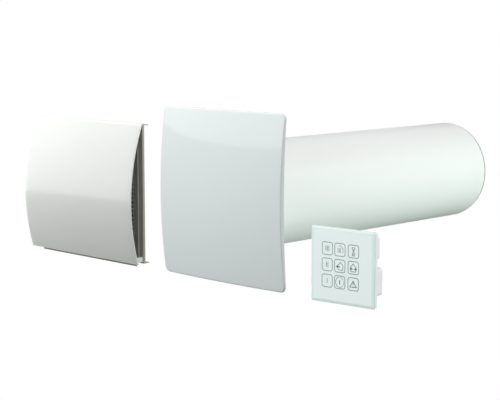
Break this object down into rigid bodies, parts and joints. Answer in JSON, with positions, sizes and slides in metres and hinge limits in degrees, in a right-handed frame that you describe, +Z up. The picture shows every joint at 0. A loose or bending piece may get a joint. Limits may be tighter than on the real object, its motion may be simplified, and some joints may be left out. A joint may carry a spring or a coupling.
{
  "type": "through-wall room ventilator",
  "caption": "Through-wall heat recovery room ventilator: bowed front panel, round duct with reversing fan and ceramic core, outdoor hood with bowed cover, and a glass touch control.",
  "frame": {"origin": "on the duct's axis, in the plane of the room wall's face, at the back of the indoor base plate", "axes": "+Y along the duct, outdoors; +Z up; +X to the right as seen from the room"},
  "size_m": [0.9038, 0.7438, 0.2586],
  "materials": {
    "panel_gloss": "high gloss white",
    "body_white": "fine matt white",
    "duct_white": "satin white extrusion",
    "shutter_white": "fine matt white",
    "actuator_grey": "matt dark grey",
    "fan_black": "matt black",
    "impeller_grey": "matt dark grey",
    "steel": "brushed",
    "magnet": "ground grey",
    "winding": "enamelled copper wire",
    "seal_foam": "closed cell foam",
    "grommet_rubber": "smooth",
    "cartridge_grey": "matt grey",
    "filter_foam": "open cell filter foam",
    "ceramic": "unglazed cordierite",
    "circuit_board": "solder mask",
    "terminal_green": "moulded",
    "hood_paint": "semi-gloss white powder coat",
    "hood_grey": "satin grey powder coat",
    "galvanised": "galvanised",
    "back_painted_glass": "clear glass painted white behind",
    "control_white": "satin white"
  },
  "bodies": {
    "indoor_unit": {"base_plate": "body_white", "base_collar": "body_white", "panel_sockets": "body_white", "wall_spigot": "body_white", "spigot_seal": "seal_foam", "cable_grommet": "grommet_rubber", "wall_duct": "duct_white", "shutter_actuator": "actuator_grey", "finger_guard": "body_white", "fan_housing": "fan_black", "fan_bearings": "steel", "motor_stator": "winding", "flow_straightener": "body_white", "cartridge_shell": "cartridge_grey", "indoor_filter": "filter_foam", "ceramic_regenerator": "ceramic", "outdoor_filter": "filter_foam", "cartridge_end_grille": "cartridge_grey", "cartridge_seals": "seal_foam", "electronics_box": "body_white", "electronics_lid": "body_white", "lid_screws": "steel", "control_board": "circuit_board", "mains_terminals": "terminal_green", "humidity_sensor": "body_white"},
    "front_panel": {"front_panel": "panel_gloss"},
    "fan_rotor": {"impeller": "impeller_grey", "fan_shaft": "steel", "rotor_magnets": "magnet"},
    "shutter_right": {"shutter_right": "shutter_white"},
    "shutter_left": {"shutter_left": "shutter_white"},
    "hood": {"hood_cover": "hood_paint", "hood_back_plate": "hood_grey", "hood_spigot": "galvanised", "hood_spigot_flange": "galvanised", "hood_rivets": "steel", "hood_side_grilles": "hood_grey", "hood_drip_lip": "hood_grey", "hood_cover_brackets": "hood_paint", "hood_gasket": "seal_foam"},
    "wall_control": {"control_glass": "back_painted_glass", "control_frame": "control_white", "touch_board": "circuit_board", "control_clips": "steel", "control_housing": "control_white", "control_power_board": "circuit_board", "control_terminals": "terminal_green"}
  },
  "joints": [
    {"name": "panel_pull_off", "type": "slide", "parent": "indoor_unit", "child": "front_panel", "axis": [0, -1, 0], "range_m": [0, 0.06]},
    {"name": "fan_spin", "type": "hinge", "parent": "indoor_unit", "child": "fan_rotor", "pos_m": [0, 0.09, 0], "axis": [0, 1, 0], "continuous": true},
    {"name": "shutter_right_swing", "type": "hinge", "parent": "indoor_unit", "child": "shutter_right", "pos_m": [0, -0.009, 0], "axis": [0, 0, -1], "range_deg": [0, 85]},
    {"name": "shutter_left_swing", "type": "hinge", "parent": "indoor_unit", "child": "shutter_left", "pos_m": [0, -0.009, 0], "axis": [0, 0, -1], "range_deg": [-85, 0]},
    {"name": "hood_lift_off", "type": "slide", "parent": "indoor_unit", "child": "hood", "axis": [0, -1, 0], "range_m": [0, 0.08]},
    {"name": "control_lift_off", "type": "slide", "parent": "indoor_unit", "child": "wall_control", "axis": [0.0941, -0.9956, 0], "range_m": [0, 0.035]}
  ],
  "couplings": [
    {"joint": "shutter_left_swing", "follows": "shutter_right_swing", "ratio": -1}
  ]
}
